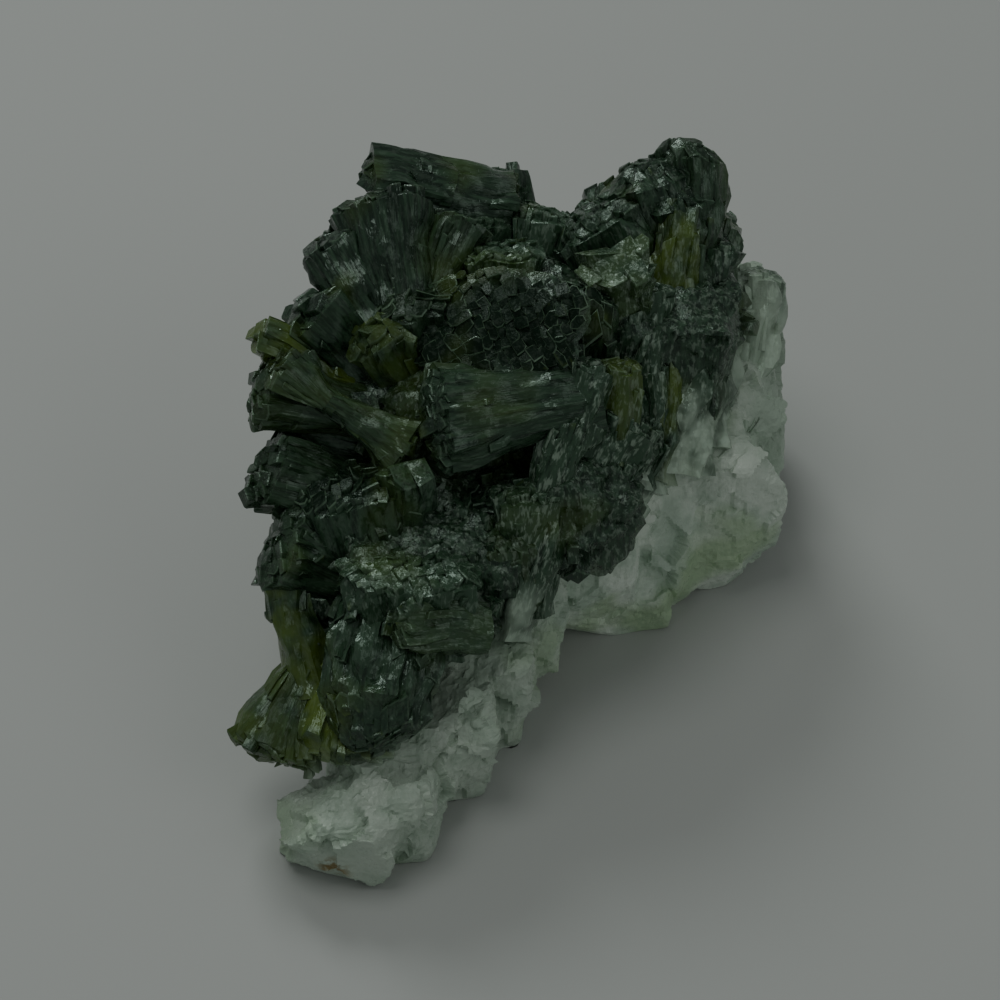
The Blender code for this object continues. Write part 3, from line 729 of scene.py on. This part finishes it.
def cap_crystals(fan_row, bulge, width, number, grid_turn):
    """The crystals whose ends make up the domed cap of one fan."""
    draw = random.Random(number)
    waist_at, cap_at, wide, waist, cap = fan_row
    length = (cap_at - waist_at).length
    cosine, sine = math.cos(grid_turn), math.sin(grid_turn)
    reach_x = (cap[0] * abs(cosine) + cap[1] * abs(sine)) / 2
    reach_y = (cap[0] * abs(sine) + cap[1] * abs(cosine)) / 2
    columns = max(2, round(2 * reach_x / width))
    dome = DOME_HEIGHT * bulge
    made = []
    for x, half_x in shares(draw, columns):
        rows = max(2, round(2 * reach_y / width * draw.uniform(0.8, 1.2)))
        for y, half_y in shares(draw, rows):
            across = (x * reach_x * cosine - y * reach_y * sine) * 2 / cap[0]
            deep = (x * reach_x * sine + y * reach_y * cosine) * 2 / cap[1]
            if abs(across) ** 4 + abs(deep) ** 4 > CAP_REACH:
                continue
            u = across * math.sqrt(1 - ROUNDNESS * deep * deep)
            w = deep * math.sqrt(1 - ROUNDNESS * across * across)
            lift = draw.gauss(0, CAP_SPREAD * width)
            chance = draw.random()
            if chance < BROKEN_SHARE * max(abs(u), abs(w)):
                lift -= draw.uniform(*BROKEN_BY) * min(1, length / 12)
            elif chance > PROUD_FROM:
                lift += draw.uniform(*PROUD_BY)
            top = length - bulge + dome * (1 - DOME_SHARE * (u * u + w * w)) + lift
            top = max(top, 0.55 * length)
            foot = max(top - draw.uniform(*CAP_LENGTHS), 0.2 * length)
            outline = end_outline(draw, (half_x * reach_x, half_y * reach_y), grid_turn, cap)
            tilt = (draw.gauss(0, CAP_TILT), draw.gauss(0, CAP_TILT))
            rings = blade(fan_row, (u, w), foot, top, 2 * DOME_SHARE * dome, tilt, outline)
            made.append(rings_object(rings, number, draw.random(), EDGE_RING))
    return made


def side_steps(fan_row, bulge, width, number, room):
    """Crystals that broke off short and end in steps down the side of one fan."""
    draw = random.Random(900 + number)
    waist_at, cap_at, wide, waist, cap = fan_row
    length = (cap_at - waist_at).length
    count = round((cap[0] + cap[1]) * 1.5 * length / room)
    made = []
    for _ in range(count):
        angle = draw.uniform(0, 2 * math.pi)
        u, w = on_square(angle)
        top = draw.uniform(*STEP_HEIGHTS) * (length - bulge)
        foot = max(top - draw.uniform(*STEP_LENGTHS), 0.02)
        wide_end = width * draw.uniform(*STEP_WIDTHS)
        deep_end = width * draw.uniform(*STEP_DEPTHS)
        proud = 1 - (0.35 * deep_end - draw.uniform(*STEP_PROUD)) / (min(cap) / 2)
        outline = end_outline(draw, (deep_end / 2, wide_end / 2), angle, cap)
        tilt = (draw.gauss(-0.3 * u, STEP_TILT), draw.gauss(-0.3 * w, STEP_TILT))
        rings = blade(fan_row, (u * proud, w * proud), foot, top, 0.0, tilt, outline)
        made.append(rings_object(rings, number, draw.random(), EDGE_RING))
    return made


def druse(middle, half, number, count):
    """Short stub crystals that stand out of massive prehnite on every side."""
    draw = random.Random(number)
    made = []
    for _ in range(count):
        way = Vector([draw.gauss(0, 1) for _ in range(3)]).normalized()
        root = Vector([middle[k] + way[k] * half[k] * 0.9 for k in range(3)])
        lean = (way + 0.5 * Vector([draw.gauss(0, 1) for _ in range(3)])).normalized()
        wide = draw.uniform(*STUB_WIDTHS)
        stub = (root - 2.0 * lean, root + draw.uniform(*STUB_PROUD) * lean, lean.orthogonal(),
                (wide, wide), (wide, wide))
        outline = end_outline(draw, (wide / 2, draw.uniform(*STUB_FLATNESS) * wide / 2),
                              draw.uniform(0, 3), (wide, wide))
        tilt = (draw.gauss(0, STUB_TILT), draw.gauss(0, STUB_TILT))
        rings = blade(stub, (0, 0), 0.0, (stub[1] - stub[0]).length, 0.0, tilt, outline)
        made.append(rings_object(rings, number, draw.random(), EDGE_RING))
    return made


def drift(spot):
    """A soft shift that changes from place to place, the same on every run."""
    return Vector([noise.noise(spot + Vector((offset, -offset, 2 * offset))) for offset in (0.0, 37.3, 71.9)])


fans = []
looks = []
blades = []
placed = [(row[0], seen(*row[1]), seen(*row[2]), seen_way(*row[3]), *row[4:]) for row in FRONT_FANS]
placed += [(row[0], Vector(row[1]), Vector(row[2]), Vector(row[3]), *row[4:]) for row in BACK_FANS]
for name, waist_at, cap_at, wide, waist, cap, bulge, width, tone in placed:
    fan_row = (waist_at, cap_at, wide, waist, cap)
    number = len(fans)
    fans.append(fan_row)
    looks.append((tone, STREAKED.get(name, PLAIN_STREAKS), DARK_ENDS.get(name, PLAIN_DARKNESS),
                  PALE_ROOTS.get(name, 0.0), LIGHTER_TONE_AND_SHEEN.get(name, 0.0)))
    body = fan_body(fan_row, bulge, number, LUMPS.get(name, PLAIN_LUMPS))
    blades.append(rings_object(body, number, 0.5, None))
    blades += cap_crystals(fan_row, bulge, width * FINER, number, GRID_TURNS.get(name, PLAIN_TURN))
    blades += side_steps(fan_row, bulge, width * FINER, number, SIDE_STEPS.get(name, PLAIN_SIDES))
for index, (middle, half) in enumerate(GREEN_HEARTS):
    heart = block("green_heart", middle, half, 200 + index, HEART_POINTS)
    bpy.context.scene.collection.objects.link(heart)
    worked(heart, "REMESH", {"mode": "VOXEL", "voxel_size": HEART_VOXEL * MM})
    bpy.context.scene.collection.objects.unlink(heart)
    places = points_of(heart.data)
    ways = normals_of(heart.data)
    for point, place in enumerate(places):
        spot = Vector(place) / MM
        push = facet(spot, HEART_BREAK[0]) * HEART_BREAK[1]
        push += noise.noise(spot * HEART_SWELL[0]) * HEART_SWELL[1]
        places[point] = place + ways[point] * push * MM
    heart.data.vertices.foreach_set("co", places.ravel())
    fans.append((Vector(middle) - Vector((0, 0, half[2])), Vector(middle) + Vector((0, 0, half[2])),
                 Vector((1, 0, 0)), (half[0], half[1]), (half[0], half[1])))
    looks.append(HEART_LOOK)
    mark(heart.data, "fan", "INT", [len(fans) - 1] * len(heart.data.polygons))
    mark(heart.data, "kind", "FLOAT", [SIDE] * len(heart.data.polygons))
    mark(heart.data, "shade", "FLOAT", [0.5] * len(heart.data.polygons))
    blades.append(heart)
    blades += druse(middle, half, len(fans) - 1, STUBS)
crystals = fused(blades, "green_crystals")
mesh = crystals.data
places = points_of(mesh)
for index, place in enumerate(places):
    spot = Vector(place) / MM
    sway = Vector((0, 0, 0))
    for close, far in SWAYS:
        sway += drift(spot * close) * far
    places[index] = (spot + sway) * MM
mesh.vertices.foreach_set("co", keep_inside(places).ravel())
mesh.polygons.foreach_set("use_smooth", [True] * len(mesh.polygons))
mesh.set_sharp_from_angle(angle=CREASE)
mesh.update()
places = points_of(mesh)
ways = normals_of(mesh)

yellow, milky, dark, pale_root, light = np.array(looks).T
face_fan = np.empty(len(mesh.polygons), dtype=np.int32)
mesh.attributes["fan"].data.foreach_get("value", face_fan)
face_size = np.empty(len(mesh.polygons), dtype=np.int32)
mesh.polygons.foreach_get("loop_total", face_size)
corner_vertex = np.empty(len(mesh.loops), dtype=np.int32)
mesh.loops.foreach_get("vertex_index", corner_vertex)
corner_fan = np.repeat(face_fan, face_size)
spots = places[corner_vertex] / MM + np.array(MIDDLE)
grain = np.zeros((len(spots), 3))
root = np.zeros(len(spots))
for number, (waist_at, cap_at, wide, waist, cap) in enumerate(fans):
    length, along, first, second = ways_of(waist_at, cap_at, wide)
    mine = corner_fan == number
    offset = spots[mine] - np.array(waist_at)
    level = np.clip(offset @ np.array(along) / length, 0, 1.2)
    flare = level ** FLARE
    spread_first = (waist[0] + (cap[0] - waist[0]) * flare) / cap[0]
    spread_second = (waist[1] + (cap[1] - waist[1]) * flare) / cap[1]
    grain[mine, 0] = offset @ np.array(first) / spread_first + number * 31.0
    grain[mine, 1] = offset @ np.array(second) / spread_second + number * 17.0
    grain[mine, 2] = level * length
    root[mine] = np.clip((pale_root[number] - level) / ROOT_FADE, 0, 1)
mesh.attributes.new("grain", "FLOAT_VECTOR", "CORNER").data.foreach_set("vector", grain.ravel())
mesh.attributes.new("root", "FLOAT", "CORNER").data.foreach_set("value", root)

rock_tree = BVHTree.FromObject(rock, bpy.context.evaluated_depsgraph_get())
body = BVHTree.FromPolygons([tuple(place) for place in places],
                            [tuple(face.vertices) for face in mesh.polygons])

# How far rays look through the stone, from how far under its face, how thick it is
# where light still comes through, and how far from the matrix the matrix still shows in it.
THROUGH = 20.0
SKIN = 0.05
THIN_DEPTH = 1.6
ROCK_DEPTH = 3.0
thin = np.empty(len(places))
near_rock = np.empty(len(places))
for index in range(len(places)):
    place = Vector(places[index])
    way = Vector(ways[index])
    hit = body.ray_cast(place - way * SKIN * MM, -way, THROUGH * MM)
    depth = hit[3] if hit[0] is not None else THROUGH * MM
    thin[index] = math.exp(-depth / (THIN_DEPTH * MM))
    near_rock[index] = math.exp(-rock_tree.find_nearest(place)[3] / (ROCK_DEPTH * MM))
mesh.attributes.new("thin", "FLOAT", "POINT").data.foreach_set("value", thin)
mesh.attributes.new("near_rock", "FLOAT", "POINT").data.foreach_set("value", near_rock)
mark(mesh, "yellow", "FLOAT", yellow[face_fan])
mark(mesh, "milky", "FLOAT", milky[face_fan])
mark(mesh, "dark_ends", "FLOAT", dark[face_fan])
mark(mesh, "lighter", "FLOAT", light[face_fan])

DEEP_GREEN = (0.0045, 0.0150, 0.0070)
GREY_GREEN = (0.032, 0.070, 0.038)
END_GREEN = (0.0025, 0.0115, 0.0050)
THROUGH_LIGHT_GREEN = (0.066, 0.112, 0.022)
YELLOW_GREEN = (0.098, 0.155, 0.012)
PALE_EDGE = (0.14, 0.22, 0.14)
MILKY = (0.48, 0.60, 0.48)

green, tree, shader = paint("green_prehnite", 0.3)
shader.inputs["Specular Tint"].default_value = (0.78, 1.0, 0.86, 1)


def stored(tree, name, output="Fac"):
    """A value that the mesh keeps under a name."""
    node = tree.nodes.new("ShaderNodeAttribute")
    node.attribute_name = name
    return node.outputs[output]


def combined_vectors(tree, operation, first, second):
    """Two vectors worked into one."""
    node = tree.nodes.new("ShaderNodeVectorMath")
    node.operation = operation
    for socket, value in zip(node.inputs, (first, second)):
        if isinstance(value, tuple):
            socket.default_value = value
        else:
            tree.links.new(value, socket)
    return node.outputs["Vector"]


# Each crystal has a shade of its own and streaks along it, and most ends are darker than the sides.
grain_place = stored(tree, "grain", "Vector")
streaks = speckle(tree, grain_place, 1.0, 2, 0.65, (1.6, 1.6, 0.12))
fine = speckle(tree, grain_place, 1.0, 2, 0.6, (4.5, 4.5, 0.35))
where = tree.nodes.new("ShaderNodeTexCoord").outputs["Object"]
cloud = speckle(tree, where, 260, 2, 0.6)
own_shade = combined(tree, combined(tree, stored(tree, "shade"), 0.16), streaks, "ADD")
# Lighter fans get a paler tone, and on the glinting fans it is partly a painted highlight.
own_shade = combined(tree, own_shade, stored(tree, "lighter"), "ADD")
colour = blended(tree, band(tree, own_shade, 0.40, 0.74), DEEP_GREEN, GREY_GREEN)
kind = stored(tree, "kind")
end_share = combined(tree, band(tree, kind, 0.7, 0.9), stored(tree, "dark_ends"))
colour = blended(tree, end_share, colour, END_GREEN)

# Some fans are yellow-green; where the stone is thin, painted yellow-green light stands for light coming
# through it.
yellow_share = band(tree, stored(tree, "yellow"), 0.1, 0.9, 0.0, 0.95)
yellow_share = combined(tree, yellow_share, band(tree, cloud, 0.25, 0.60))
colour = blended(tree, yellow_share, colour, YELLOW_GREEN)
tinge = speckle(tree, where, 130, 1, 0.5)
colour = blended(tree, band(tree, tinge, 0.50, 0.70, 0.0, 0.26), colour, YELLOW_GREEN)
# Painted light that comes through the stone where it is thin.
through_light_share = band(tree, stored(tree, "thin"), 0.35, 0.85, 0.0, 0.55)
colour = blended(tree, through_light_share, colour, THROUGH_LIGHT_GREEN)

# The bevels around the ends are pale, and matrix shows as flecks and at the roots.
rim = combined(tree, band(tree, kind, 0.2, 0.4), band(tree, kind, 0.6, 0.8, 1.0, 0.0))
rim = combined(tree, rim, band(tree, cloud, 0.36, 0.62, 0.15, 0.9))
rim = combined(tree, rim, combined(tree, stored(tree, "dark_ends"), 0.35, "MAXIMUM"))
colour = blended(tree, rim, colour, PALE_EDGE)
flecks = speckle(tree, grain_place, 1.0, 2, 0.65, (2.0, 2.0, 0.7))
fleck_share = combined(tree, stored(tree, "milky"), band(tree, flecks, 0.50, 0.66, 0.0, 0.62))
colour = blended(tree, fleck_share, colour, MILKY)
pale_share = combined(tree, stored(tree, "root"), stored(tree, "near_rock"), "MAXIMUM")
pale_share = combined(tree, pale_share, band(tree, cloud, 0.30, 0.64, 0.42, 1.0))
colour = blended(tree, band(tree, pale_share, 0.12, 0.95, 0.0, 0.85), colour, MILKY)
tree.links.new(colour, shader.inputs["Base Color"])

# The sides are silky and the lighter ends glassy, but the dark ends are dull.
dull = combined(tree, combined(tree, stored(tree, "dark_ends"), band(tree, kind, 0.3, 0.9)), 0.3)
gloss = band(tree, fine, 0.3, 0.7, 0.05, 0.26)
tree.links.new(combined(tree, gloss, dull, "MAXIMUM"), shader.inputs["Roughness"])
tree.links.new(band(tree, dull, 0.12, 0.27, 0.6, 0.22), shader.inputs["Specular IOR Level"])

# Each grain of a broken face lies at a slant of its own and glints from its own side.
glitter = tree.nodes.new("ShaderNodeTexVoronoi")
glitter.inputs["Scale"].default_value = 1900
tree.links.new(where, glitter.inputs["Vector"])
from_cell = combined_vectors(tree, "SUBTRACT", where, glitter.outputs["Position"])
cell_way = combined_vectors(tree, "SUBTRACT", glitter.outputs["Color"], (0.5, 0.5, 0.5))
glint_height = tree.nodes.new("ShaderNodeVectorMath")
glint_height.operation = "DOT_PRODUCT"
tree.links.new(from_cell, glint_height.inputs[0])
tree.links.new(cell_way, glint_height.inputs[1])
glint_share = band(tree, stored(tree, "lighter"), 0.0, 0.2, 0.35, 1.0)
glint_height = combined(tree, glint_height.outputs["Value"], glint_share)
under = bumped(tree, shader, glint_height, 1.0, 0.5)
bumped(tree, shader, fine, 0.00016, 0.38, under)

mesh.materials.clear()
mesh.materials.append(green)
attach(crystals, "root")
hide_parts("crystals")

# The floor, the lights and the camera
# A plain pale surface under soft light from above and behind, seen from in front and above.

FLOOR_REACH = 1.5
FLOOR_COLOUR = (0.445, 0.47, 0.445, 1)
ROOM_COLOUR = (0.75, 0.78, 0.78, 1)
ROOM_LIGHT = 0.24
LENS = 108
SPECIMEN = (0, 0, 0.02)

floor_mesh = bpy.data.meshes.new("floor")
corners = [(x * FLOOR_REACH, y * FLOOR_REACH, 0) for x, y in ((-1, -1), (1, -1), (1, 1), (-1, 1))]
floor_mesh.from_pydata(corners, [], [(0, 1, 2, 3)])
floor = bpy.data.objects.new("floor", floor_mesh)
bpy.context.scene.collection.objects.link(floor)
surface, tree, shader = paint("floor", 0.6)
shader.inputs["Base Color"].default_value = FLOOR_COLOUR
floor_mesh.materials.append(surface)


def soft_light(name, place, size, power, colour):
    """A large soft lamp that looks at the specimen."""
    lamp = bpy.data.lights.new(name, "AREA")
    lamp.shape = "DISK"
    lamp.size = size
    lamp.energy = power
    lamp.color = colour
    item = bpy.data.objects.new(name, lamp)
    item.location = place
    item.rotation_euler = (Vector(SPECIMEN) - Vector(place)).to_track_quat("-Z", "Y").to_euler()
    bpy.context.scene.collection.objects.link(item)


soft_light("window", (-0.28, 0.70, 0.72), 0.34, 2.2, (0.97, 1.0, 0.99))
soft_light("ceiling", (-0.25, 0.05, 1.0), 0.5, 1.45, (1.0, 1.0, 0.99))
soft_light("side", (0.55, -0.35, 0.60), 0.5, 0.38, (1.0, 1.0, 0.99))

world = bpy.data.worlds.new("room")
world.use_nodes = True
world.node_tree.nodes["Background"].inputs["Color"].default_value = ROOM_COLOUR
world.node_tree.nodes["Background"].inputs["Strength"].default_value = ROOM_LIGHT
bpy.context.scene.world = world

target = (Vector((0, 0, VIEW_HEIGHT)) - MIDDLE) * MM
camera_data = bpy.data.cameras.new("camera")
camera_data.lens = LENS
camera_data.sensor_width = 36
camera_data.clip_start = 0.01
camera = bpy.data.objects.new("camera", camera_data)
camera.location = target - AWAY * VIEW_DISTANCE * MM
camera.rotation_euler = AWAY.to_track_quat("-Z", "Y").to_euler()
bpy.context.scene.collection.objects.link(camera)
bpy.context.scene.camera = camera
